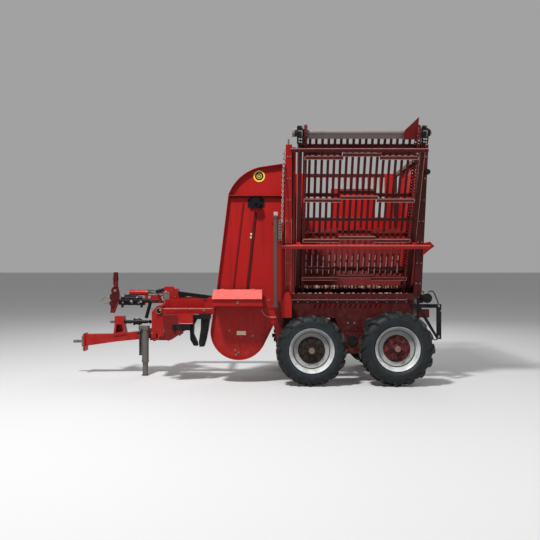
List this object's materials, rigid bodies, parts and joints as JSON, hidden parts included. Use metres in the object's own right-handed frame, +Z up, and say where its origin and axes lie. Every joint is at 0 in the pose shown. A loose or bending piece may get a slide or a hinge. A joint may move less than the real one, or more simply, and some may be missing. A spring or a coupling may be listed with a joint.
{
  "type": "trailed sugar beet harvester with slatted tank and unloading elevator",
  "caption": "Red trailed sugar beet harvester: topper, lifting shares, beet elevator housing, slatted tank with a leaning unloading elevator, tandem wheels, drawbar and parking jack.",
  "frame": {"origin": "on the ground, under the middle of the bounding box", "axes": "+X to the rear of the machine, the drawbar at -X; +Y to its right side, the unloading elevator at -Y; +Z up"},
  "size_m": [5.832, 2.803, 3.8239],
  "materials": {
    "red_paint": "worn gloss",
    "shaded_red_paint": "worn satin",
    "worn_brown_steel": "rusty",
    "black_metal": "satin",
    "grey_paint": "weathered",
    "bare_steel": "worn",
    "chrome_rod": "polished",
    "rubber_web": "dusty",
    "tyre_rubber": "dusty",
    "grey_rim": "weathered"
  },
  "bodies": {
    "chassis": {"front_box": "red_paint", "side_beam": "red_paint", "gearbox": "red_paint", "toolbox": "red_paint", "topper_hood": "red_paint", "elevator_housing": "red_paint", "control_lever": "red_paint", "control_cylinder": "red_paint", "tank_front_frame": "red_paint", "tank_rear_frame": "red_paint", "tank_rails": "red_paint", "tank_side_plates": "red_paint", "chassis_rails": "shaded_red_paint", "cross_members": "shaded_red_paint", "walking_beams": "shaded_red_paint", "tank_walls": "shaded_red_paint", "rotor_arms": "shaded_red_paint", "lift_bracket": "shaded_red_paint", "tank_hopper": "shaded_red_paint", "control_arm": "black_metal", "hydraulic_motors": "black_metal", "light_bracket": "black_metal", "lifting_shares": "black_metal", "beam_pivot": "black_metal", "elevator_shaft": "black_metal", "lift_barrel": "grey_paint", "rear_post": "grey_paint", "lift_chain": "bare_steel", "tail_shaft": "bare_steel", "lift_web": "rubber_web", "web_rollers": "rubber_web"},
    "drawbar": {"drawbar": "red_paint", "tow_eye": "bare_steel", "drive_shaft": "black_metal", "jack_tube": "grey_paint"},
    "jack_leg": {"jack_leg": "grey_paint"},
    "elevator": {"elevator_frame": "red_paint", "elevator_chains": "worn_brown_steel", "elevator_flights": "worn_brown_steel", "head_shaft": "black_metal", "head_guard": "red_paint", "lifting_beam": "red_paint"},
    "lift_rod": {"lift_rod": "chrome_rod"},
    "toolbox_lid": {"toolbox_lid": "red_paint"},
    "cleaning_rotor": {"cleaning_rotor": "rubber_web"},
    "topper_rotor": {"topper_rotor": "bare_steel"},
    "wheel_front_left": {"tyre_front_left": "tyre_rubber", "rim_front_left": "grey_rim"},
    "wheel_rear_left": {"tyre_rear_left": "tyre_rubber", "rim_rear_left": "grey_rim"},
    "wheel_front_right": {"tyre_front_right": "tyre_rubber", "rim_front_right": "grey_rim"},
    "wheel_rear_right": {"tyre_rear_right": "tyre_rubber", "rim_rear_right": "grey_rim"}
  },
  "joints": [
    {"name": "wheel_front_left_spin", "type": "hinge", "parent": "chassis", "child": "wheel_front_left", "pos_m": [0.925, -0.82549, 0.525], "axis": [0, 1, 0], "continuous": true},
    {"name": "wheel_rear_left_spin", "type": "hinge", "parent": "chassis", "child": "wheel_rear_left", "pos_m": [2.177, -0.82549, 0.552], "axis": [0, 1, 0], "continuous": true},
    {"name": "wheel_front_right_spin", "type": "hinge", "parent": "chassis", "child": "wheel_front_right", "pos_m": [0.925, 1.18851, 0.525], "axis": [0, 1, 0], "continuous": true},
    {"name": "wheel_rear_right_spin", "type": "hinge", "parent": "chassis", "child": "wheel_rear_right", "pos_m": [2.177, 1.18851, 0.552], "axis": [0, 1, 0], "continuous": true},
    {"name": "drawbar_swing", "type": "hinge", "parent": "chassis", "child": "drawbar", "pos_m": [-1.585, 0.26151, 0.69], "axis": [0, 0, 1], "range_deg": [-20, 20]},
    {"name": "jack_slide", "type": "slide", "parent": "drawbar", "child": "jack_leg", "axis": [0, 0, 1], "range_m": [0, 0.19]},
    {"name": "elevator_tilt", "type": "hinge", "parent": "chassis", "child": "elevator", "pos_m": [0.545, -0.23849, 1.44], "axis": [1, 0, 0], "range_deg": [0, 25]},
    {"name": "lift_rod_slide", "type": "slide", "parent": "chassis", "child": "lift_rod", "axis": [0, 0, 1], "range_m": [0, 0.172]},
    {"name": "toolbox_lid_hinge", "type": "hinge", "parent": "chassis", "child": "toolbox_lid", "pos_m": [-0.166, -0.67749, 1.412], "axis": [-1, 0, 0], "range_deg": [0, 105]},
    {"name": "cleaning_rotor_spin", "type": "hinge", "parent": "chassis", "child": "cleaning_rotor", "pos_m": [0.445, -0.40349, 0.7], "axis": [0, 1, 0], "continuous": true},
    {"name": "topper_rotor_spin", "type": "hinge", "parent": "chassis", "child": "topper_rotor", "pos_m": [-1.12, -0.40349, 0.838], "axis": [0, 1, 0], "continuous": true}
  ],
  "couplings": [
    {"joint": "lift_rod_slide", "follows": "elevator_tilt", "m_per_rad": 0.38961}
  ]
}
